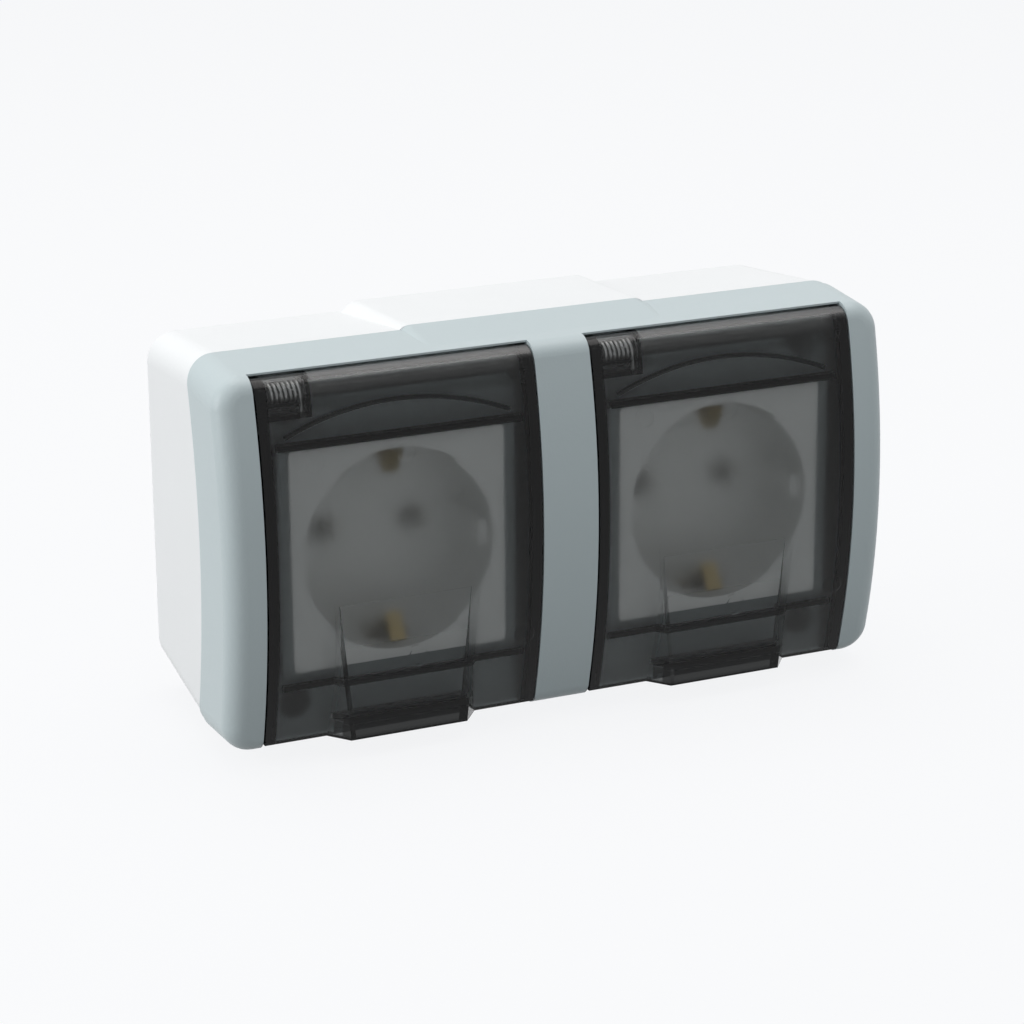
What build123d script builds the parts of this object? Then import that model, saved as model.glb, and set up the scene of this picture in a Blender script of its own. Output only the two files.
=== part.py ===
from build123d import *
import os
from math import acos, atan, atan2, cos, degrees, hypot, radians, sin, sqrt, tan

# Double surface-mounted socket outlet with two self-closing smoked lids, in millimetres.
# X runs to the right, Y into the wall and Z up.
# The origin is the centre of the back face, which lies on the wall.

# Housing
height = 78.0
depth = 54.0
crown_radius = 140.0
corner_radius = 6.0
wall = 2.2
back_wall = 2.5
frame_skirt = 17.8
frame_top_draft = 4.2
frame_foot_draft = 2.8
base_side_draft = 3.1
base_top_draft = 6.0
front_edge_radius = 3.8
back_edge_radius = 1.2
band_width = 2.8
band_step = 0.35
lip_height = 2.4
lip_thickness = 1.2
lip_root = 3.0
lip_clearance = 0.2
edge_tolerance = 0.1

# Raised middle of the top and bottom edges
plateau_width = 54.5
plateau_step = 5.0
plateau_rise = 0.75
plateau_back_rise = 2.3
plateau_run = 11.9
plateau_setback = 1.6

# Lids and their recesses in the frame
stile_width = 7.65
mullion_width = 11.9
lid_wall = 1.8
lid_side_gap = 0.35
lid_bottom_gap = 2.0
lid_skirt = 2.5
skirt_clearance = 1.55
floor_setback = 9.0
floor_thickness = 2.4
floor_clearance = 0.4
hinge_drop = 5.8
roll_radius = 4.0
roll_tail = 35.0
roll_clearance = 0.3
shoulder_setback = 0.2
trough_wall = 1.8

# Finger grip on each lid
grip_half_top = 16.2
grip_half_bottom = 12.4
grip_flank_slope = 0.78
grip_start = 6.0
grip_sink = 0.4
grip_hollow_start = 9.0
grip_floor_rise = 3.6
grip_floor_thickness = 1.3

# Ribs inside each lid
rib_half_length = 25.6
rib_thickness = 1.4
rib_depth = 1.1
upper_rib_drop = 15.1
lower_rib_rise = 14.1
arch_half_span = 23.6
arch_foot_drop = 13.4
arch_rise = 4.8
arch_thickness = 0.9

# Hinge pins and springs
pin_diameter = 2.5
pin_clearance = 0.05
pin_grip = 3.0
fit_clearance = 0.02
spring_pocket = 7.9
spring_pocket_wall = 1.0
spring_pocket_drop = 3.2
spring_pocket_radius = 3.1
spring_wire = 0.75
wire_sides = 8
spring_radius = 2.2
spring_pitch = 0.95
spring_turns = 6.5
spring_leg = 3.2
skirt_notch = 2.0

# Socket module, one behind each lid
module_margin = 2.5
module_corner = 1.0
module_gap = 0.1
module_face_setback = 5.1
module_plate = 2.0
module_skirt_depth = 6.6
module_skirt_wall = 1.6
rim_width = 2.2
rim_setback = 5.4
well_diameter = 40.0
well_depth = 17.5
cup_wall = 1.8
cup_floor = 2.0
pin_hole_pitch = 19.0
pin_hole_diameter = 5.4
guide_width = 5.0
guide_reach = 2.2
guide_setback = 2.5
earth_recess_width = 24.6
earth_recess_step = 0.7
earth_recess_depth = 15.4
earth_slot_width = 9.4
ear_gap = 3.2
ear_width = 9.0
ear_thickness = 2.5
ear_setback = 9.0

# Contacts and their block behind each cup
block_width = 42.0
block_clearance = 0.4
block_depth = 13.0
block_corner = 3.0
contact_thickness = 0.8
contact_width = 7.0
contact_gap = 4.4
contact_depth = 9.0
contact_clearance = 0.3
terminal_reach = 17.4
terminal_size = 5.4
terminal_depth = 6.5
wire_bore = 2.8
strap_width = 5.0
strap_clearance = 0.2
finger_width = 3.2
finger_setback = 1.4
finger_lead = 3.0
finger_bow = 5.0

# Fasteners
frame_screw_inset = 7.95
frame_screw_drop = 9.0
frame_screw_diameter = 3.2
frame_screw_length = 14.0
frame_screw_head = 6.0
frame_screw_head_height = 2.4
screw_recess_diameter = 6.8
frame_boss_diameter = 9.6
frame_boss_length = 8.6
frame_seat = 2.0
frame_post_diameter = 8.4
ear_screw_diameter = 2.9
ear_screw_length = 10.0
ear_screw_head = 5.4
ear_screw_head_height = 2.0
ear_post_diameter = 7.0
terminal_screw_diameter = 2.9
terminal_screw_length = 4.0
terminal_screw_head = 4.6
terminal_screw_head_height = 1.5
terminal_screw_open = 0.6
hole_clearance = 0.6
drive_slot_width = 0.9
drive_slot_depth = 1.0

# Wall fixing holes
fixing_pitch_x = 100.0
fixing_pitch_z = 46.0
fixing_diameter = 4.5
fixing_seat_diameter = 10.0
fixing_seat_height = 1.2

# Cable grommet in the bottom edge
grommet_hole = 20.0
grommet_setback = 15.7
grommet_flange = 25.0
grommet_flange_height = 1.4
grommet_bore = 9.0
grommet_lip = 2.0
grommet_neck = 6.0

# Sizes and places worked out from the values above
cup_radius = well_diameter / 2 + cup_wall
module_size = well_diameter + 2 * module_margin
module_opening = module_size + 2 * module_gap
rim_size = module_opening + 2 * rim_width
lid_width = rim_size + 2 * (skirt_clearance + lid_skirt)
half_recess = lid_width / 2 + lid_side_gap
socket_pitch = 2 * half_recess + mullion_width
recess_end = socket_pitch / 2 + half_recess
half_width = recess_end + stile_width
width = 2 * half_width
half_height = height / 2
floor_front = floor_setback - depth
floor_back = floor_front + floor_thickness
hinge_z = half_height - hinge_drop
crown_centre = crown_radius - depth
hinge_y = crown_centre - sqrt((crown_radius - roll_radius) ** 2 - hinge_z**2)
shoulder_y = hinge_y + shoulder_setback
lid_foot = lid_bottom_gap - half_height
lid_inset = lid_width / 2 - lid_skirt
skirt_back = floor_front - floor_clearance
socket_places = (-socket_pitch / 2, socket_pitch / 2)
earth_recess_radius = well_diameter / 2 + earth_recess_step
module_face = module_face_setback - depth
well_floor = module_face + well_depth
cup_back = well_floor + cup_floor
ear_front = module_face + ear_setback
ear_back = ear_front + ear_thickness
ear_hole_x = cup_radius + ear_gap + ear_post_diameter / 2
ear_reach = ear_hole_x + ear_width / 2
block_back = cup_back + block_depth
bridge_back = cup_back + contact_clearance + contact_depth
contact_half = contact_gap / 2 + contact_thickness
strap_top = cup_radius + strap_clearance + contact_thickness
block_height = 2 * (strap_top - terminal_size - block_clearance)
terminal_tap = terminal_screw_diameter + 2 * fit_clearance
terminal_tap_depth = terminal_screw_length - terminal_screw_open + fit_clearance
frame_screw_x = recess_end - frame_screw_inset
frame_screw_z = half_height - frame_screw_drop
boss_back = floor_back + frame_boss_length
frame_seat_y = boss_back - frame_seat
far = 2 * width


def crown(z, setback=0.0):
    """Y of the front curve at height z, or of a copy of it that is set back."""
    return setback + crown_centre - sqrt(crown_radius**2 - z**2)


seam_end = crown(half_height, frame_skirt)
seam_front = crown(0, frame_skirt)
plateau_growth = (plateau_back_rise - plateau_rise) / -seam_end
plateau_slope = tan(radians(base_top_draft)) - plateau_growth


def crown_arc(setback):
    """The front curve in the side view, from below the housing to above it."""
    reach = half_height + 2 * plateau_back_rise
    foot = (crown(reach, setback), -reach)
    head = (crown(reach, setback), reach)
    return ThreePointArc(foot, (crown(0, setback), 0), head)


def crown_slab(front, rear):
    """All that lies between two copies of the front curve, set back by front and rear."""
    near = crown_arc(front)
    away = crown_arc(rear)
    outline = [near, Line(near @ 1, away @ 1), away, Line(away @ 0, near @ 0)]
    return extrude(Plane.YZ * make_face(outline), amount=far / 2, both=True)


def bar(x0, x1, y0, y1, z0, z1):
    """A box between two corners."""
    return Pos((x0 + x1) / 2, (y0 + y1) / 2, (z0 + z1) / 2) * Box(x1 - x0, y1 - y0, z1 - z0)


def rod(diameter, y0, y1, x=0.0, z=0.0):
    """A round bar along Y."""
    return Pos(x, (y0 + y1) / 2, z) * Rot(90, 0, 0) * Cylinder(diameter / 2, y1 - y0)


def axle(diameter, x0, x1, y, z):
    """A round bar along X."""
    return Pos((x0 + x1) / 2, y, z) * Rot(0, 90, 0) * Cylinder(diameter / 2, x1 - x0)


def sleeve(half_wide, top, foot, inset, front, rear):
    """A rounded box between two Y planes, its sides, top and foot leaning as their functions say."""
    ends = []
    for y in (front, rear):
        across = 2 * (half_wide(y) - inset)
        high = top(y) - inset
        low = foot(y) + inset
        plane = Plane(origin=(0, y, (high + low) / 2), x_dir=(1, 0, 0), z_dir=(0, 1, 0))
        ends.append(plane * RectangleRounded(across, high - low, corner_radius - inset))
    return loft(ends, ruled=True)


def plateaus(start, top, run, fall, inset):
    """The raised middles of the top and bottom edges, swept from start along a falling line."""
    foot = plateau_width / 2 + plateau_step / 2 - inset
    head = plateau_width / 2 - plateau_step / 2 - inset
    high = top - inset
    low = high - plateau_back_rise
    sill = low - wall / 2
    rise = Spline((-foot, low), (-head, high), tangents=((1, 0), (1, 0)))
    drop = Spline((head, high), (foot, low), tangents=((1, 0), (1, 0)))
    edges = Polyline((foot, low), (foot, sill), (-foot, sill), (-foot, low))
    outline = [rise, Line((-head, high), (head, high)), drop, edges]
    length = hypot(run, fall)
    profile = Pos(0, start, 0) * (Plane.XZ * make_face(outline))
    raised = extrude(profile, amount=length, dir=(0, run / length, -fall / length))
    return raised + mirror(raised, about=Plane.XY)


def frame_half_width(y):
    return half_width


def frame_top(y):
    return half_height + (y - seam_end) * tan(radians(frame_top_draft))


def frame_foot(y):
    return (seam_end - y) * tan(radians(frame_foot_draft)) - half_height


def base_half_width(y):
    return half_width - band_step - (y - seam_front) * tan(radians(base_side_draft))


def base_top(y):
    return half_height - band_step - (y - seam_end) * tan(radians(base_top_draft))


def base_foot(y):
    return -base_top(y)


def base_plateau_top(y):
    return base_top(seam_end) + plateau_rise - (y - seam_end) * plateau_slope


def frame_plateaus(inset):
    """On the frame the raised middle sinks into the shoulder before it reaches the lids."""
    start = seam_end + wall
    run = plateau_run + wall
    slope = plateau_rise / plateau_run + tan(radians(frame_top_draft))
    top = half_height + plateau_rise + wall * slope
    return plateaus(start, top, -run, run * slope, inset)


def base_plateaus(inset):
    """On the base the raised middle stands out more and more, and stops short of the back."""
    start = seam_end - lip_root - lip_height
    run = -plateau_setback - inset - start
    return plateaus(start, base_plateau_top(start), run, run * plateau_slope, inset)


def frame_sleeve(inset, front, rear):
    return sleeve(frame_half_width, frame_top, frame_foot, inset, front, rear)


def base_sleeve(inset, rear):
    return sleeve(base_half_width, base_top, base_foot, inset, seam_front - lip_height, rear)


def frame_form(inset, front):
    """The frame's outline, inset on all sides, from front to just behind the seam."""
    return frame_sleeve(inset, front, seam_end + wall) + frame_plateaus(inset)


def at_frame_screws(piece):
    """One copy of a piece at each outer corner, where a screw holds the frame."""
    corners = [(x, z) for x in (-frame_screw_x, frame_screw_x) for z in (-frame_screw_z, frame_screw_z)]
    return [Pos(x, 0, z) * piece for x, z in corners]


def at_ear_screws(piece):
    """One copy of a piece at each ear of both socket modules."""
    places = [place + side * ear_hole_x for place in socket_places for side in (-1, 1)]
    return [Pos(x, 0, 0) * piece for x in places]


def on_crown(edge):
    """True for an edge that lies on the front curve."""
    middle = edge @ 0.5
    return abs(middle.Y - crown(middle.Z)) < edge_tolerance


def on_pad_end(edge):
    """True for an edge at the back end of a raised middle that stands out of the box."""
    middle = edge @ 0.5
    at_end = abs(middle.Y + plateau_setback) < edge_tolerance
    return at_end and abs(middle.Z) > base_top(middle.Y)


def square_prism(size, corner, front, rear):
    """A square bar along Y with rounded corners."""
    outline = Plane.XZ * RectangleRounded(size, size, corner)
    return Pos(0, rear, 0) * extrude(outline, amount=rear - front)


def front_frame():
    """The grey front: stiles, mullion, shoulder and the recess floors that the lids close on."""
    ahead = -depth - wall
    shell = frame_sleeve(0, ahead, seam_end + wall) & crown_slab(0, frame_skirt)
    shell = fillet(shell.edges().filter_by(on_crown), front_edge_radius)
    shell += frame_plateaus(0) & crown_slab(0, frame_skirt)
    band = crown_slab(frame_skirt - band_width, frame_skirt + wall)
    shell -= band - frame_form(band_step, ahead)
    cavity = frame_form(wall, floor_back) & bar(-far, far, floor_back, far, -far, far)
    shell -= cavity

    shell += at_frame_screws(rod(frame_boss_diameter, floor_back, boss_back))
    bore = 2 * (roll_radius + roll_clearance)
    behind_floor = bar(-far, far, floor_front, seam_end, -far, far)
    inside = frame_sleeve(wall / 2, ahead, seam_end) & behind_floor
    rim_corner = module_corner + module_gap
    rim = square_prism(rim_size, rim_corner + rim_width, rim_setback - depth, floor_back)
    pin_bore = pin_diameter + 2 * fit_clearance
    for place in socket_places:
        left = place - half_recess
        right = place + half_recess
        trough = axle(bore + 2 * trough_wall, left - trough_wall, right + trough_wall, hinge_y, hinge_z)
        shell += trough & inside
        shell -= axle(bore, left, right, hinge_y, hinge_z)
        shell -= bar(left, right, -far, floor_front, -far, hinge_z)
        shell -= bar(left, right, -far, shoulder_y, hinge_z, far)
        shell += Pos(place, 0, 0) * rim
        shell -= Pos(place, 0, 0) * square_prism(module_opening, rim_corner, -depth, floor_back + wall)
        shell -= axle(pin_bore, left - pin_grip, right + pin_grip, hinge_y, hinge_z)

    shell -= at_frame_screws(rod(screw_recess_diameter, floor_front - wall, frame_seat_y))
    shell -= at_frame_screws(rod(frame_screw_diameter + hole_clearance, floor_back, boss_back + wall))

    half_mullion = mullion_width / 2
    core_top = hinge_z - roll_radius - wall
    core_space = crown_slab(wall, frame_skirt)
    for x0, x1 in (
        (-half_width + wall, -recess_end - wall),
        (-half_mullion + wall, half_mullion - wall),
        (recess_end + wall, half_width - wall),
    ):
        shell -= bar(x0, x1, -depth, floor_back, lid_foot + wall, core_top) & core_space
    return shell


def base_box():
    """The white box on the wall, with posts for the frame and for the socket modules."""
    body = base_sleeve(0, 0)
    back_edges = body.edges().filter_by_position(Axis.Y, -edge_tolerance, edge_tolerance)
    pads = base_plateaus(0)
    pads = fillet(pads.edges().filter_by(on_pad_end), back_edge_radius)
    body = fillet(back_edges, back_edge_radius) + pads
    body -= base_sleeve(wall, -back_wall) + base_plateaus(wall)
    body = body & crown_slab(frame_skirt, 2 * depth)

    lip_outer = wall + lip_clearance
    lip_space = crown_slab(frame_skirt - lip_height, frame_skirt + lip_root)
    ahead = floor_back
    lip = frame_form(lip_outer, ahead) - frame_form(lip_outer + lip_thickness, ahead)
    body += lip & lip_space

    body += at_frame_screws(rod(frame_post_diameter, boss_back, -back_wall))
    body += at_ear_screws(rod(ear_post_diameter, ear_back, -back_wall))
    pilot = frame_screw_diameter + 2 * fit_clearance
    body -= at_frame_screws(rod(pilot, boss_back, frame_seat_y + frame_screw_length + wall))
    pilot = ear_screw_diameter + 2 * fit_clearance
    body -= at_ear_screws(rod(pilot, ear_back, ear_front + ear_screw_length + wall))

    for x in (-fixing_pitch_x / 2, fixing_pitch_x / 2):
        for z in (-fixing_pitch_z / 2, fixing_pitch_z / 2):
            body += rod(fixing_seat_diameter, -back_wall - fixing_seat_height, -back_wall, x, z)
            body -= rod(fixing_diameter, -depth / 2, back_wall, x, z)
    body -= at_grommet(Cylinder(grommet_hole / 2, 4 * wall))
    return body


def at_grommet(piece):
    """Sets a piece with its axis square to the raised middle of the bottom edge."""
    y = -grommet_setback
    return Pos(0, y, -base_plateau_top(y)) * Rot(degrees(atan(plateau_slope)), 0, 0) * piece


def cable_grommet():
    """A rubber ring gripping the edge of the cable hole, with a neck inside."""
    outer = grommet_flange / 2
    seat = grommet_hole / 2 - fit_clearance
    bore = grommet_bore / 2
    top = wall * cos(atan(plateau_slope))
    flange = grommet_flange_height
    inner = outer - grommet_lip / 2
    outline = Polyline(
        (bore, -flange),
        (outer - flange, -flange),
        (outer, 0),
        (seat, 0),
        (seat, top),
        (inner, top),
        (inner - flange / 2, top + flange),
        (bore + grommet_lip, top + flange),
        (bore + grommet_lip / 2, top + grommet_neck),
        (bore, top + grommet_neck),
        close=True,
    )
    return at_grommet(revolve(Plane.XZ * make_face(outline), axis=Axis.Z))


def arc_point(radius, centre, angle):
    """A point of a circle in the side view, its angle taken from straight up towards the wall."""
    return (centre[0] + radius * sin(radians(angle)), centre[1] + radius * cos(radians(angle)))


def crown_point(z, setback=0.0):
    """A point of the front curve in the side view, or of the curve that runs a wall behind it."""
    return (crown_centre - sqrt((crown_radius - setback) ** 2 - z**2), z)


def roll_lean():
    """Angle from straight up, towards the front, where the front curve meets the hinge roll."""
    return degrees(atan2(crown_centre - hinge_y, hinge_z))


def lid_side():
    """Side view of a whole lid: the front curve, rolled over the hinge, and straight at the back."""
    axis = (hinge_y, hinge_z)
    join = arc_point(roll_radius, axis, -roll_lean())
    front = ThreePointArc(crown_point(lid_foot), crown_point(0), join)
    back = Polyline(join, axis, (skirt_back, hinge_z), (skirt_back, lid_foot), crown_point(lid_foot))
    return make_face([front, back]) + Pos(*axis) * Circle(roll_radius)


def lid_hollow():
    """Side view of the space behind the lid's skin, between its skirts."""
    axis = (hinge_y, hinge_z)
    lean = roll_lean()
    inner = roll_radius - lid_wall
    tail = arc_point(inner, axis, roll_tail)
    beyond = arc_point(2 * roll_radius, axis, roll_tail)
    below = lid_foot - wall
    join = arc_point(inner, axis, -lean)
    roll = ThreePointArc(tail, arc_point(inner, axis, (roll_tail - lean) / 2), join)
    front = ThreePointArc(join, crown_point(0, lid_wall), crown_point(below, lid_wall))
    rest = Polyline(crown_point(below, lid_wall), (0, below), (0, beyond[1]), beyond, tail)
    return make_face([roll, front, rest])


def side_plate(profile, x0, x1):
    """A plate across X, cut to a side view."""
    return Pos(x0, 0, 0) * extrude(Plane.YZ * profile, amount=x1 - x0)


def grip_wedge(inset, z_top, z_bottom, back):
    """The raised grip, or the hollow behind it: a flat face that stands off as the lid curves away."""
    full = -lid_foot
    ends = []
    for z in (z_top, z_bottom):
        share = -z / full
        front = crown(grip_start) + grip_sink * (share - grip_start / full) + inset
        taper = (grip_half_bottom - grip_half_top) * share
        half_front = grip_half_top + taper - inset * grip_flank_slope
        half_back = half_front + (back - front) * grip_flank_slope
        corners = Polyline(
            (-half_front, front), (half_front, front), (half_back, back), (-half_back, back), close=True
        )
        ends.append(Pos(0, 0, z) * make_face(corners))
    return loft(ends, ruled=True)


def rib_bar(z):
    """A bar across a lid, to be trimmed to a straight rib behind its skin."""
    half = rib_thickness / 2
    return bar(-rib_half_length, rib_half_length, -depth, skirt_back, z - half, z + half)


def lid():
    """One smoked lid in its closed place, about the middle of its socket."""
    half = lid_width / 2
    side = lid_side()
    body = side_plate(side, -half, half) - side_plate(lid_hollow(), -lid_inset, lid_inset)
    grip_back = crown(lid_foot) + lid_wall / 2
    wedge = grip_wedge(0, 0, lid_foot, grip_back)
    body += wedge & crown_slab(-depth, lid_wall)

    floor_low = lid_foot + grip_floor_rise
    floor_high = floor_low + grip_floor_thickness
    hollow = grip_wedge(lid_wall, -grip_hollow_start, floor_high, skirt_back)
    body -= hollow
    body -= grip_wedge(lid_wall, floor_low, lid_foot - wall, skirt_back)

    skin = crown_slab(lid_wall - rib_depth / 2, lid_wall + rib_depth)
    body += rib_bar(half_height - upper_rib_drop) & skin
    lower = rib_bar(lower_rib_rise - half_height)
    behind_grip = hollow - Pos(0, rib_depth, 0) * hollow
    body += (lower & skin) - hollow
    body += lower & behind_grip & crown_slab(-depth, lid_wall + rib_depth)
    arch_foot = half_height - arch_foot_drop
    arch_top = (0, arch_foot + arch_rise)
    arch = ThreePointArc((-arch_half_span, arch_foot), arch_top, (arch_half_span, arch_foot))
    body += extrude(Plane.XZ * trace(arch, arch_thickness), amount=depth) & skin

    body -= axle(2 * spring_pocket_radius, -lid_inset, spring_pocket - lid_inset, hinge_y, hinge_z)
    ear_x = spring_pocket - lid_inset
    pocket_floor = hinge_z - spring_pocket_drop
    above = bar(-half, half, -depth, 0, pocket_floor - spring_pocket_wall, far)
    body += side_plate(side, ear_x, ear_x + spring_pocket_wall) & above
    shelf = bar(-lid_inset, ear_x, -depth, hinge_y, pocket_floor - spring_pocket_wall, pocket_floor)
    body += shelf & crown_slab(lid_wall / 2, depth)
    leg_x = (spring_pocket + spring_pitch * spring_turns) / 2 - lid_inset
    leg_hole = Cylinder((spring_wire + hole_clearance) / 2, 4 * spring_pocket_wall)
    body -= Pos(leg_x, hinge_y - spring_radius, pocket_floor) * leg_hole
    notch_top = pocket_floor - spring_pocket_wall
    notch = bar(-half, -lid_inset, -depth, 0, notch_top - skirt_notch, notch_top)
    body -= notch & crown_slab(lid_wall, depth)
    body -= axle(pin_diameter + 2 * pin_clearance, -half, half, hinge_y, hinge_z)
    return body


def hinge_pin():
    """The steel pin that a lid turns on, held at both ends by the frame."""
    reach = lid_width / 2 + lid_side_gap + pin_grip
    return axle(pin_diameter, -reach, reach, hinge_y, hinge_z)


def lid_spring():
    """The torsion spring on the pin: one leg lies in the frame's trough, one goes through the shelf."""
    length = spring_pitch * spring_turns
    coil_path = Helix(spring_pitch, length, spring_radius)
    tip = RegularPolygon(spring_wire / 2, wire_sides)
    first = Plane(origin=coil_path @ 0, z_dir=coil_path % 0)
    last = Plane(origin=coil_path @ 1, z_dir=coil_path % 1)
    spring = sweep(first * tip, path=coil_path, is_frenet=True)
    spring += extrude(first * tip, amount=-spring_leg)
    spring += extrude(last * tip, amount=spring_leg)
    start = (spring_pocket - length) / 2 - lid_inset
    return Pos(start, hinge_y, hinge_z) * (Plane.YZ * spring)


def socket_cup():
    """The white face of one socket, with its round well and two ears for screws."""
    cup = square_prism(module_size, module_corner, module_face, module_face + module_skirt_depth)
    room = module_size - 2 * module_skirt_wall
    plate_back = module_face + module_plate
    cup -= square_prism(room, module_corner, plate_back, plate_back + module_skirt_depth)
    cup += rod(2 * cup_radius, module_face, cup_back)
    for side in (-1, 1):
        reach = sorted((0, side * ear_reach))
        cup += bar(*reach, ear_front, ear_back, -ear_width / 2, ear_width / 2)
    cup -= rod(well_diameter, module_face - wall, well_floor)
    recess = rod(2 * earth_recess_radius, module_face - wall, module_face + earth_recess_depth)
    half_band = earth_recess_width / 2
    recess &= bar(-half_band, half_band, -depth, 0, -far, far)
    band = earth_recess_radius * sin(acos(half_band / earth_recess_radius)) - cup_wall
    cup -= recess - bar(-far, far, -depth, 0, -band, band)
    window_front = module_face + module_skirt_depth
    half_slot = earth_slot_width / 2
    half_guide = guide_width / 2
    ear_clear = ear_screw_diameter + hole_clearance
    for side in (-1, 1):
        reach = sorted((0, side * 2 * cup_radius))
        cup -= bar(-half_slot, half_slot, window_front, module_face + earth_recess_depth, *reach)
        guide_root = sorted((side * cup_radius, side * (well_diameter / 2 - guide_reach)))
        guide = bar(*guide_root, module_face + guide_setback, cup_back, -half_guide, half_guide)
        cup += guide & rod(2 * cup_radius, module_face, cup_back)
        cup -= rod(pin_hole_diameter, well_floor - wall, cup_back + wall, side * pin_hole_pitch / 2)
        cup -= rod(ear_clear, ear_front - wall, ear_back + wall, side * ear_hole_x)
    return cup


def contact_block():
    """The moulded block behind a cup that carries the contacts and their terminals."""
    outline = Plane.XZ * RectangleRounded(block_width, block_height, block_corner)
    block = Pos(0, block_back, 0) * extrude(outline, amount=block_depth)
    half = contact_width / 2 + contact_clearance
    pocket_back = bridge_back + contact_clearance
    inner = pin_hole_pitch / 2 - contact_half - contact_clearance
    outer = pin_hole_pitch / 2 + contact_half + contact_clearance
    terminal_inner = terminal_reach - terminal_size / 2 - contact_clearance
    rib_back = bridge_back - contact_thickness - contact_clearance
    front = cup_back - wall
    for side in (-1, 1):
        pocket = bar(*sorted((side * inner, side * far)), front, pocket_back, -half, half)
        rib = bar(*sorted((side * outer, side * terminal_inner)), front, rib_back, -half, half)
        block -= pocket - rib
        wire_way = rod(wire_bore + hole_clearance, pocket_back - wall, block_back + wall)
        block -= Pos(side * terminal_reach, 0, 0) * wire_way
    half = strap_width / 2 + contact_clearance
    groove_back = cup_back + 2 * strap_clearance + contact_thickness
    block -= bar(-half, half, front, groove_back, -far, far)
    return block


def pin_contact(side):
    """A brass fork for one plug pin, with a bridge to its screw terminal."""
    middle = side * pin_hole_pitch / 2
    half = contact_width / 2
    front = cup_back + contact_clearance
    bridge_front = bridge_back - contact_thickness
    contact = bar(middle - contact_half, middle + contact_half, front, bridge_back, -half, half)
    contact -= bar(middle - contact_gap / 2, middle + contact_gap / 2, -depth, bridge_front, -far, far)
    contact += bar(*sorted((middle, side * terminal_reach)), bridge_front, bridge_back, -half, half)
    inner = terminal_reach - terminal_size / 2
    terminal = sorted((side * inner, side * (inner + terminal_size)))
    contact += bar(*terminal, bridge_back - terminal_depth, bridge_back, -half, half)
    contact -= rod(wire_bore, -depth, 0, side * terminal_reach)
    screw_y = bridge_back - terminal_depth / 2
    tap_end = inner + terminal_size - terminal_tap_depth
    contact -= axle(terminal_tap, *sorted((side * tap_end, side * far)), screw_y, 0)
    return contact


def earth_strap():
    """One brass strap round the back of a cup, with a sprung finger at the top and the bottom."""
    half = contact_thickness / 2
    outside = cup_radius + strap_clearance + half
    bar_y = cup_back + strap_clearance + half
    tip = (module_face + finger_setback, well_diameter / 2 - half)
    bow = (tip[0] + finger_lead, well_diameter / 2 - finger_bow)
    exit_y = bow[0] + outside - bow[1]
    upper = [tip, bow, (exit_y, outside), (bar_y, outside)]
    lower = [(y, -z) for y, z in reversed(upper)]
    path = Polyline(*upper, *lower)
    strap = extrude(Plane.YZ * trace(path, contact_thickness), amount=strap_width / 2, both=True)
    for side in (-1, 1):
        shoulder = sorted((side * finger_width / 2, side * strap_width))
        strap -= bar(*shoulder, -depth, exit_y, -far, far)
    terminal_y = bar_y + terminal_depth
    terminal_z = strap_top - terminal_size / 2
    terminal_foot = strap_top - terminal_size
    strap += bar(-strap_width / 2, strap_width / 2, bar_y, terminal_y, terminal_foot, strap_top)
    strap -= rod(wire_bore, bar_y - contact_thickness, terminal_y + wall, 0, terminal_z)
    screw_y = bar_y + terminal_depth / 2
    tap = Pos(0, screw_y, strap_top) * Cylinder(terminal_tap / 2, 2 * terminal_tap_depth)
    return strap - tap


def screw(diameter, length, head, head_height):
    """A screw along Y, its head's underside at zero, with a crossed drive recess."""
    body = rod(head, -head_height, 0)
    body = chamfer(body.edges().group_by(Axis.Y)[0], head_height / 3)
    body += rod(diameter, -head_height / 2, length)
    reach = head / 3
    floor = drive_slot_depth - head_height
    for long, wide in ((reach, drive_slot_width / 2), (drive_slot_width / 2, reach)):
        body -= bar(-long, long, -depth, floor, -wide, wide)
    return body


def frame_screws():
    """The four screws that hold the frame to the base."""
    one = screw(frame_screw_diameter, frame_screw_length, frame_screw_head, frame_screw_head_height)
    return at_frame_screws(Pos(0, frame_seat_y, 0) * one)


def module_screws():
    """The four screws that hold the socket modules to the base."""
    one = screw(ear_screw_diameter, ear_screw_length, ear_screw_head, ear_screw_head_height)
    return at_ear_screws(Pos(0, ear_front, 0) * one)


def terminal_screws(place):
    """The three terminal screws of one socket, each a little open."""
    head = (terminal_screw_head, terminal_screw_head_height)
    one = screw(terminal_screw_diameter, terminal_screw_length, *head)
    stand = terminal_reach + terminal_size / 2 + terminal_screw_open
    side_y = bridge_back - terminal_depth / 2
    earth_y = cup_back + strap_clearance + contact_thickness / 2 + terminal_depth / 2
    return [
        Pos(place - stand, side_y, 0) * Rot(0, 0, -90) * one,
        Pos(place + stand, side_y, 0) * Rot(0, 0, 90) * one,
        Pos(place, earth_y, strap_top + terminal_screw_open) * Rot(-90, 0, 0) * one,
    ]


def save(name, shape):
    """Writes one piece, or a group of like pieces, under its name."""
    pieces = shape if isinstance(shape, list) else [shape]
    solids = [solid for piece in pieces for solid in piece.solids()]
    export_step(Compound(solids), f"parts/{name}.step")


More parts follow.
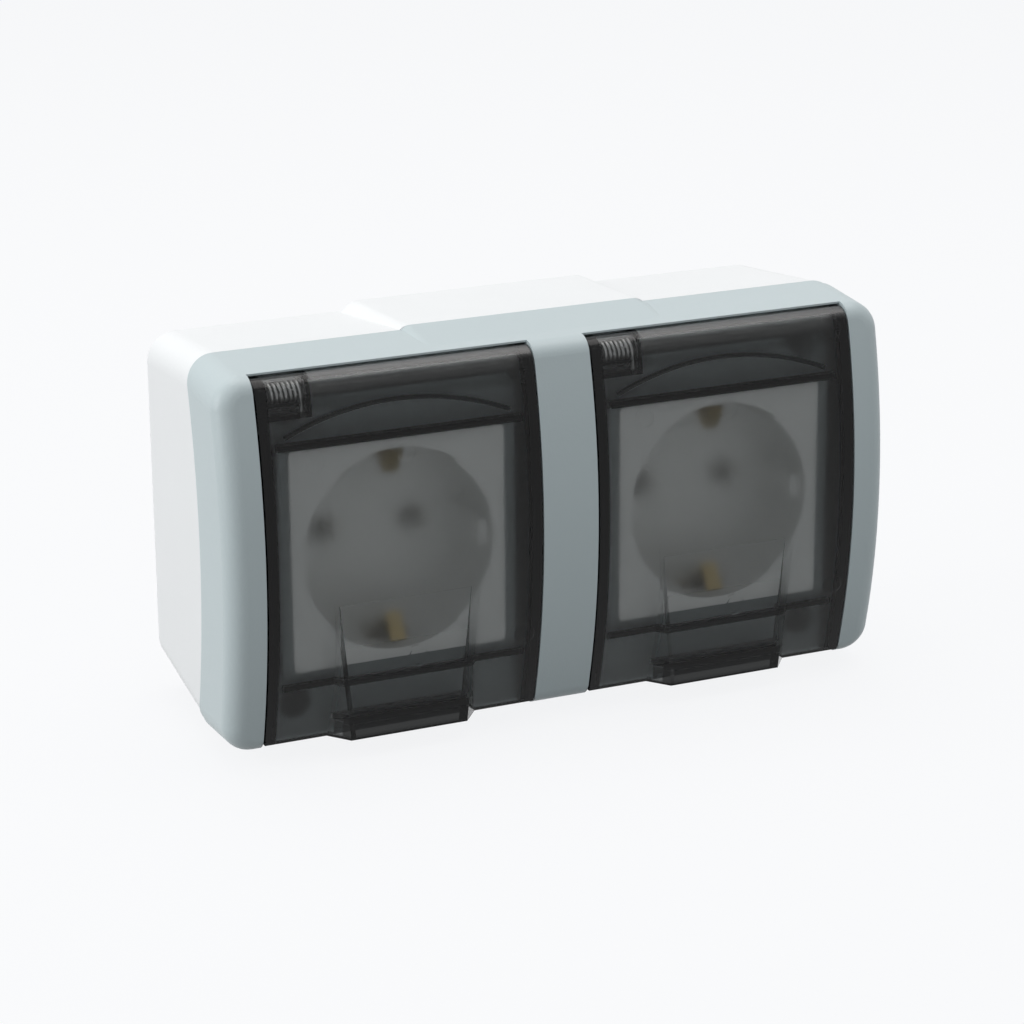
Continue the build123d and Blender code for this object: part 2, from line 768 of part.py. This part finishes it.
def main():
    os.makedirs("parts", exist_ok=True)
    save("base_box", base_box())
    save("front_frame", front_frame())
    save("cable_grommet", cable_grommet())
    save("frame_screws", frame_screws())
    save("module_screws", module_screws())
    for side, place in zip(("left", "right"), socket_places):
        at = Pos(place, 0, 0)
        save(f"{side}_lid", at * lid())
        save(f"{side}_hinge_pin", at * hinge_pin())
        save(f"{side}_lid_spring", at * lid_spring())
        save(f"{side}_socket_cup", at * socket_cup())
        save(f"{side}_contact_block", at * contact_block())
        save(f"{side}_line_contact", at * pin_contact(-1))
        save(f"{side}_neutral_contact", at * pin_contact(1))
        save(f"{side}_earth_strap", at * earth_strap())
        save(f"{side}_terminal_screws", terminal_screws(place))


main()
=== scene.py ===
"""Looks of the double socket outlet: finishes, springs, studio light and the camera."""

import math

import bmesh
import bpy
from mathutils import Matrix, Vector


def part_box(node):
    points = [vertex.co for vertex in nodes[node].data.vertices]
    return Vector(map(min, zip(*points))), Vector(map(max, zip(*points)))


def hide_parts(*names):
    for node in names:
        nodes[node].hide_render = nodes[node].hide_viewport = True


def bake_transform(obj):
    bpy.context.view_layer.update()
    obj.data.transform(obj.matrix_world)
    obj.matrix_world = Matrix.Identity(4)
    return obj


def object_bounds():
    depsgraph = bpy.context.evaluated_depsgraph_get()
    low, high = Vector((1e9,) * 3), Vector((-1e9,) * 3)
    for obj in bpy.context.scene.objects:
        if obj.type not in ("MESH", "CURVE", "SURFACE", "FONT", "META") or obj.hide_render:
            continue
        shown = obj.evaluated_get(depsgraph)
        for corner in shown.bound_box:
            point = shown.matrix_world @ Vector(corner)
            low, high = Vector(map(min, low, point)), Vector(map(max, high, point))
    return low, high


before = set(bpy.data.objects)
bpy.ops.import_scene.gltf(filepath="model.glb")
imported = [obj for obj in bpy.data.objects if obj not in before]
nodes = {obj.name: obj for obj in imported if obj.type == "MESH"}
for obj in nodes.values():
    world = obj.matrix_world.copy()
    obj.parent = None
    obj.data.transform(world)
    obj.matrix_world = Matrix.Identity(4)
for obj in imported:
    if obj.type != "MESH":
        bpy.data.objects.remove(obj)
cad_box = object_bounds()
SIDES = ("left", "right")
MM = 0.001


def mm(*sizes):
    """Sizes in metres, from millimetres."""
    return [size * MM for size in sizes]


# The front curve of frame and lids: its radius, and the place of its middle behind the wall.
CROWN_RADIUS = 140 * MM
CROWN_CENTRE = CROWN_RADIUS + cad_box[0].y


class Wire:
    """A shader socket that can be used in sums: each operator adds a Math node."""

    def __init__(self, finish, socket):
        self.finish = finish
        self.socket = socket

    def math(self, operation, *values):
        sockets = dict(enumerate(values))
        return self.finish.node("Math", {"operation": operation}, sockets)

    def __add__(self, other):
        return self.math("ADD", self, other)

    def __sub__(self, other):
        return self.math("SUBTRACT", self, other)

    def __rsub__(self, other):
        return self.math("SUBTRACT", other, self)

    def __mul__(self, other):
        return self.math("MULTIPLY", self, other)

    __radd__ = __add__
    __rmul__ = __mul__

    def most(self, other):
        return self.math("MAXIMUM", self, other)

    def root(self):
        return self.math("SQRT", self)

    def size(self):
        return self.math("ABSOLUTE", self)

    def rise(self, start, end):
        """0 up to start, 1 from end on, and smooth between them."""
        sockets = {"Value": self, "From Min": start, "From Max": end}
        return self.finish.node("MapRange", {"interpolation_type": "SMOOTHSTEP"}, sockets)

    def fall(self, start, end):
        """1 up to start, 0 from end on, and smooth between them."""
        return 1 - self.rise(start, end)

    def band(self, middle, half):
        """1 within half of the middle, and 0 just beyond it."""
        return (self - middle).size().fall(half, half + 0.2 * MM)


class Finish:
    """A material, or the world, that is built up from nodes."""

    def __init__(self, owner):
        self.owner = owner
        owner.use_nodes = True
        self.tree = owner.node_tree
        self.tree.nodes.clear()

    def node(self, kind, settings=None, sockets=None, output=0):
        """Adds a node, sets its settings and then its sockets, and returns one output."""
        made = self.tree.nodes.new("ShaderNode" + kind)
        for name, value in (settings or {}).items():
            setattr(made, name, value)
        for name, value in (sockets or {}).items():
            if isinstance(value, Wire):
                self.tree.links.new(value.socket, made.inputs[name])
            else:
                made.inputs[name].default_value = value
        return Wire(self, made.outputs[output]) if made.outputs else None

    def place(self):
        """The point on the surface, in metres, in the outlet's own frame."""
        return self.node("TexCoord", output="Object")

    def along(self, axis):
        """One of the point's three places: X, Y or Z."""
        return self.node("SeparateXYZ", sockets={0: self.place()}, output=axis)

    def behind_crown(self):
        """How far the point lies behind the curve that the front of the outlet follows."""
        z = self.along("Z")
        return self.along("Y") - CROWN_CENTRE + (CROWN_RADIUS**2 - z * z).root()

    def grain(self, scale, detail=2.0):
        """Noise from 0 to 1 with about that many spots in a metre."""
        return self.node("TexNoise", sockets={"Vector": self.place(), "Scale": scale, "Detail": detail})

    def mix(self, share, first, second):
        """One colour at share 0 and the other at share 1: the Mix node's sockets 6 and 7, and output 2."""
        return self.node("Mix", {"data_type": "RGBA"}, {"Factor": share, 6: first, 7: second}, output=2)

    def bump(self, height, distance):
        """A normal from a height, whose full swing is that many metres."""
        return self.node("Bump", sockets={"Height": height, "Distance": distance})

    def surface(self, inside=None, **sockets):
        """The main shader and, if the piece is see-through, what fills it, linked to the output."""
        named = {name.replace("_", " "): value for name, value in sockets.items()}
        ends = {"Surface": self.node("BsdfPrincipled", sockets=named)}
        if inside:
            ends["Volume"] = inside
        self.node("OutputMaterial", sockets=ends)


def new_finish(name):
    return Finish(bpy.data.materials.new(name))


def toned(colour, share):
    """The colour with that share of its light."""
    return [channel * share for channel in colour[:3]] + [1]


def grey(tone):
    return (tone, tone, tone, 1)


def lid_middle(side):
    """The middle of a lid, from left to right."""
    lowest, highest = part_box(f"{side}_lid")
    return (lowest.x + highest.x) / 2


# What moulded plastic keeps of its colour in its duller clouds, and under the full shade painted behind a
# lid.
CLOUD_TONE = 0.965
SHADE_TONE = 0.12


def moulded_plastic(name, colour, gloss, grain_depth, shade=None):
    """Opaque plastic from a spark-eroded mould: fine grain, slight clouds in colour and gloss, and painted
    shade if given.
    """
    finish = new_finish(name)
    clouds = finish.mix(finish.grain(60, 3), toned(colour, CLOUD_TONE), colour)
    if shade:
        # Painted shade: the colour darkens where the frame lies behind a lid.
        clouds = finish.mix(shade(finish), clouds, toned(colour, SHADE_TONE))
    finish.surface(
        Base_Color=clouds,
        Roughness=gloss + 0.10 * (finish.grain(900) - 0.5),
        Normal=finish.bump(finish.grain(2600), grain_depth),
        IOR=1.5,
    )
    return finish.owner


# Limits of the shade painted behind the lids, each with its soft edge: across from a lid's middle, up, and
# back.
RECESS_SIDES = mm(29.3, 29.6)
RECESS_TOP = mm(30, 31.5)
RECESS_FOOT = mm(-37.6, -37)
RIM_FRONT = mm(-49.2, -48.8)
LOWER_HOLES_TOP = mm(-25, -24)
HOLE_MOUTH = mm(-44.9, -44.4)
FLOOR_SHADE = 0.75


def painted_recess_shade(finish):
    """Painted shade on the frame behind the lids: partial on floors and rims, full in the lower screws'
    holes.
    """
    across = (finish.along("X").size() - lid_middle("right")).size()
    y = finish.along("Y")
    z = finish.along("Z")
    behind_lid = across.fall(*RECESS_SIDES) * z.fall(*RECESS_TOP) * z.rise(*RECESS_FOOT)
    floors = y.rise(*RIM_FRONT)
    lower_holes = y.rise(*HOLE_MOUTH) * z.fall(*LOWER_HOLES_TOP)
    return behind_lid * (FLOOR_SHADE * floors + (1 - FLOOR_SHADE) * lower_holes)


# Ejector marks inside a lid: across from its middle and up, in millimetres.
EJECTOR_MARKS = ((25.2, 33.5), (-22.3, 33.1), (-17.9, 20.5), (1.0, 20.2), (25.6, -21.0), (2.1, -21.5))
MARK_EDGE = mm(1.85, 2.15)


def ejector_marks(across, z):
    """Shallow round marks that the mould's pins leave in a lid."""
    marks = 0.0
    for mark_x, mark_z in EJECTOR_MARKS:
        aside = across - mark_x * MM
        up = z - mark_z * MM
        distance = (aside * aside + up * up).root()
        marks = distance.fall(*MARK_EDGE) + marks
    return marks


# Limits of the painted shade on the ribs, the foot and the skirts of a lid, each with its soft edge: back,
# up, and across.
SKIN_BACK = mm(1.88, 2.05)
RIBS_TOP = mm(32, 33)
RIBS_FOOT = mm(-34.2, -33.6)
GRIP_LIP = mm(-33.9, -33.4)
FOOT_EDGE = mm(-36.6, -36.2)
SKIRTS = mm(26.4, 26.8)
# Bands of painted shade on a lid, each with its middle and half its width: rows by height, the others
# across.
UPPER_RIB = mm(24.1, 0.55)
LOWER_RIB = mm(-24.7, 0.55)
RIB_REACH = mm(0, 25.4)
GRIP_FLOOR = mm(-32.8, 0.7)
GRIP_REACH = mm(0, 13.6)
POCKET_WALL = mm(-17.95, 0.6)
LIP_TONE = 0.97


def painted_shade_share(across, behind, z):
    """Painted shade: 1 where a lid is painted nearly black, as its ribs, grip, foot, skirts and the wall of
    the spring's pocket look in shade.
    """
    inside = behind.rise(*SKIN_BACK)
    within_grip = across.band(*GRIP_REACH)
    dark = inside * z.fall(*RIBS_TOP) * z.rise(*RIBS_FOOT)
    others = (
        z.band(*UPPER_RIB) * across.band(*RIB_REACH),
        z.band(*LOWER_RIB) * across.band(*RIB_REACH),
        z.band(*GRIP_FLOOR) * within_grip,
        LIP_TONE * z.fall(*GRIP_LIP) * within_grip,
        z.fall(*FOOT_EDGE),
        inside * across.band(*POCKET_WALL),
        across.size().rise(*SKIRTS),
    )
    for part in others:
        dark = dark.most(part)
    return dark


# Limits of the haze on a lid's inner skin and of the sheen on its roll, each with its soft edge.
HAZE_FRONT = mm(0.6, 1.2)
POCKET_FOOT = mm(29.5, 30.5)
POCKET_SIDE = (POCKET_WALL[0], POCKET_WALL[0] + MM)
ROLL_TOP = mm(35.2, 36.4)
SMOKE = {"Color": (0.29, 0.315, 0.32, 1), "Density": 350.0}
CLEAR = (0.93, 0.935, 0.93, 1)
# The nearly black colour of the shade painted on a lid.
PAINTED_SHADE_BLACK = (0.02, 0.021, 0.021, 1)


def smoked_plastic(side):
    """Clear plastic with a smoky tint: hazy inside except at the spring, with painted shade on ribs and
    skirts.
    """
    finish = new_finish(f"{side}_smoked_lid")
    across = finish.along("X") - lid_middle(side)
    behind = finish.behind_crown()
    z = finish.along("Z")
    beside_pocket = across.rise(*POCKET_SIDE)
    hazy = behind.rise(*HAZE_FRONT) * z.fall(*POCKET_FOOT).most(beside_pocket)
    roll_top = z.rise(*ROLL_TOP) * beside_pocket
    relief = ejector_marks(across, z) + 0.05 * finish.grain(420)
    finish.surface(
        inside=finish.node("VolumeAbsorption", sockets=SMOKE),
        # Base colour: painted shade, nearly black, on the ribs, grip, foot, skirts and pocket wall.
        Base_Color=finish.mix(painted_shade_share(across, behind, z), CLEAR, PAINTED_SHADE_BLACK),
        Roughness=0.10 + 0.30 * hazy,
        Normal=finish.bump(relief, 0.06 * MM),
        IOR=1.5,
        Transmission_Weight=1.0,
        Specular_Tint=grey(0.42),
        Coat_Weight=0.9 * roll_top,
        Coat_Roughness=0.3,
    )
    return finish.owner


def rolled_brass():
    """Brass strip with a fine grain and a few duller patches."""
    finish = new_finish("rolled_brass")
    patches = finish.grain(350, 4)
    finish.surface(
        Base_Color=finish.mix(patches, (0.36, 0.27, 0.12, 1), (0.56, 0.44, 0.22, 1)),
        Metallic=1.0,
        Roughness=0.28 + 0.2 * patches,
        Normal=finish.bump(finish.grain(4000), 0.01 * MM),
    )
    return finish.owner


def dull_steel(name, dark, pale):
    """Steel wire, pins and screws, with a faint cloudy dulling."""
    finish = new_finish(name)
    clouds = finish.grain(700, 3)
    finish.surface(
        Base_Color=finish.mix(clouds, grey(dark), grey(pale)),
        Metallic=1.0,
        Roughness=0.25 + 0.2 * clouds,
        Normal=finish.bump(finish.grain(5000), 0.008 * MM),
    )
    return finish.owner


def black_rubber():
    """Soft black rubber with a dusty bloom."""
    finish = new_finish("black_rubber")
    bloom = finish.grain(500, 4)
    finish.surface(
        Base_Color=finish.mix(bloom, grey(0.012), grey(0.045)),
        Roughness=0.6 + 0.25 * bloom,
        Normal=finish.bump(finish.grain(3500), 0.03 * MM),
    )
    return finish.owner


def paint(mesh, material):
    """Gives a mesh its one finish."""
    mesh.materials.clear()
    mesh.materials.append(material)


# The torsion springs, as wound in the part, and the first turn's place across from the lid's middle.
WIRE = 0.75 * MM
COIL_RADIUS = 2.2 * MM
COIL_PITCH = 0.95 * MM
COIL_TURNS = 6.5
COIL_START = -25.4875 * MM
LEG = 3.2 * MM
STEPS = 24


def coil_points(start, hinge):
    """Middle line of the wire: a leg down behind the pin, the turns, and a leg down in front of it."""
    points = [Vector((start, hinge.y + COIL_RADIUS, hinge.z - LEG))]
    for step in range(int(COIL_TURNS * STEPS) + 1):
        turn = step / STEPS
        angle = 2 * math.pi * turn
        y = hinge.y + COIL_RADIUS * math.cos(angle)
        z = hinge.z + COIL_RADIUS * math.sin(angle)
        points.append(Vector((start + COIL_PITCH * turn, y, z)))
    points.append(points[-1] - Vector((0, 0, LEG)))
    return points


def round_wire(points):
    """A mesh of round wire along the points."""
    curve = bpy.data.curves.new("wire", "CURVE")
    curve.dimensions = "3D"
    curve.bevel_depth = WIRE / 2
    curve.bevel_resolution = 3
    curve.use_fill_caps = True
    line = curve.splines.new("POLY")
    line.points.add(len(points) - 1)
    for point, place in zip(line.points, points):
        point.co = (*place, 1)
    former = bpy.data.objects.new("former", curve)
    mesh = bpy.data.meshes.new_from_object(former)
    bpy.data.objects.remove(former)
    mesh.shade_smooth()
    return mesh


def wound_spring(side, steel):
    """Round wire in place of the faceted one, which is hidden."""
    lowest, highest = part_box(f"{side}_hinge_pin")
    hinge = (lowest + highest) / 2
    start = lid_middle(side) + COIL_START
    mesh = round_wire(coil_points(start, hinge))
    paint(mesh, steel)
    spring = bpy.data.objects.new(f"{side}_wound_spring", mesh)
    bpy.context.scene.collection.objects.link(spring)
    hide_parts(f"{side}_lid_spring")
    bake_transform(spring)


def finish_pieces():
    """Gives every piece its finish, and puts the round springs in."""
    white = moulded_plastic("white_box", (0.90, 0.915, 0.92, 1), 0.50, 0.03 * MM)
    blue_grey = moulded_plastic("blue_grey_frame", (0.555, 0.635, 0.65, 1), 0.42, 0.03 * MM, painted_recess_shade)
    socket = moulded_plastic("white_socket", (0.845, 0.848, 0.838, 1), 0.35, 0.02 * MM)
    block = moulded_plastic("block", (0.62, 0.61, 0.57, 1), 0.5, 0.03 * MM)
    brass = rolled_brass()
    steel = dull_steel("plated_steel", 0.20, 0.36)
    black_steel = dull_steel("black_steel", 0.05, 0.10)
    finishes = {
        "base_box": white,
        "front_frame": blue_grey,
        "cable_grommet": black_rubber(),
        "frame_screws": black_steel,
        "module_screws": steel,
    }
    for side in SIDES:
        finishes[f"{side}_lid"] = smoked_plastic(side)
        finishes[f"{side}_hinge_pin"] = black_steel
        finishes[f"{side}_socket_cup"] = socket
        finishes[f"{side}_contact_block"] = block
        finishes[f"{side}_line_contact"] = brass
        finishes[f"{side}_neutral_contact"] = brass
        finishes[f"{side}_earth_strap"] = brass
        finishes[f"{side}_terminal_screws"] = steel
        wound_spring(side, steel)
    for node, finish in finishes.items():
        paint(nodes[node].data, finish)


# The studio: what the camera sees as background, the even light, and the floor's two tones.
BACKGROUND = {"Color": (0.965, 0.972, 0.985, 1), "Strength": 1.0}
EVEN_LIGHT = {"Color": (0.94, 0.975, 1, 1), "Strength": 0.49}
FLOOR_PALE = (0.9, 0.9, 0.91, 1)
FLOOR_DULL = grey(0.28)
FLOOR_GLOW = 0.90
FLOOR_REACH = 6
FLOOR_GAP = 0.5 * MM


def background_share(finish):
    """1 for the rays that show the background: to the camera, and in gloss and glass."""
    seen = finish.node("LightPath", output="Is Camera Ray")
    gloss = finish.node("LightPath", output="Is Glossy Ray")
    glass = finish.node("LightPath", output="Is Transmission Ray")
    return seen.most(gloss).most(glass)


def studio_world():
    """Near-white to look at, and a dim even light on the outlet."""
    finish = Finish(bpy.data.worlds.new("studio"))
    white = finish.node("Background", sockets=BACKGROUND)
    dim = finish.node("Background", sockets=EVEN_LIGHT)
    shader = finish.node("MixShader", sockets={0: background_share(finish), 1: dim, 2: white})
    finish.node("OutputWorld", sockets={"Surface": shader})
    bpy.context.scene.world = finish.owner


def floor_finish():
    """A pale floor that shows near white and keeps the shadow, but throws little light back."""
    finish = new_finish("floor")
    pale = finish.node("BsdfDiffuse", sockets={"Color": FLOOR_PALE})
    glow = finish.node("Emission", sockets=BACKGROUND)
    shown = finish.node("MixShader", sockets={0: FLOOR_GLOW, 1: pale, 2: glow})
    dull = finish.node("BsdfDiffuse", sockets={"Color": FLOOR_DULL})
    shader = finish.node("MixShader", sockets={0: background_share(finish), 1: dull, 2: shown})
    finish.node("OutputMaterial", sockets={"Surface": shader})
    return finish.owner


def floor():
    """A wide plate just under the outlet."""
    mesh = bpy.data.meshes.new("floor")
    form = bmesh.new()
    bmesh.ops.create_grid(form, x_segments=1, y_segments=1, size=FLOOR_REACH)
    form.to_mesh(mesh)
    form.free()
    paint(mesh, floor_finish())
    plate = bpy.data.objects.new("floor", mesh)
    plate.location.z = cad_box[0].z - FLOOR_GAP
    bpy.context.scene.collection.objects.link(plate)


def softbox(name, place, size, power, colour=(1, 1, 1)):
    """A rectangular lamp that looks from its place at the outlet's origin."""
    lamp = bpy.data.lights.new(name, "AREA")
    lamp.shape = "RECTANGLE"
    lamp.size, lamp.size_y = size
    lamp.energy = power
    lamp.color = colour
    holder = bpy.data.objects.new(name, lamp)
    holder.location = place
    holder.rotation_euler = (-Vector(place)).to_track_quat("-Z", "Y").to_euler()
    bpy.context.scene.collection.objects.link(holder)


def lights():
    """A broad, slightly warm lamp above and behind, and a white one at the left."""
    softbox("top_softbox", place=(0.1, 0.12, 0.8), size=(0.9, 0.6), power=3.35, colour=(1, 0.965, 0.945))
    softbox("left_softbox", place=(-0.9, 0.05, 0.25), size=(0.5, 0.7), power=4.3)


# The camera, solved from the outlet's edges: millimetres of film and lens, metres, and degrees.
FILM_WIDTH = 36
FOCAL_LENGTH = 113.465
CAMERA_PLACE = (-0.25708, -0.60449, 0.20598)
CAMERA_TURN = (71.6065, 0.3115, -24.0202)


def camera():
    lens = bpy.data.cameras.new("camera")
    lens.sensor_width = FILM_WIDTH
    lens.lens = FOCAL_LENGTH
    holder = bpy.data.objects.new("camera", lens)
    holder.location = CAMERA_PLACE
    holder.rotation_euler = [math.radians(turn) for turn in CAMERA_TURN]
    bpy.context.scene.collection.objects.link(holder)
    bpy.context.scene.camera = holder


finish_pieces()
studio_world()
floor()
lights()
camera()
bpy.context.scene.view_settings.view_transform = "Standard"
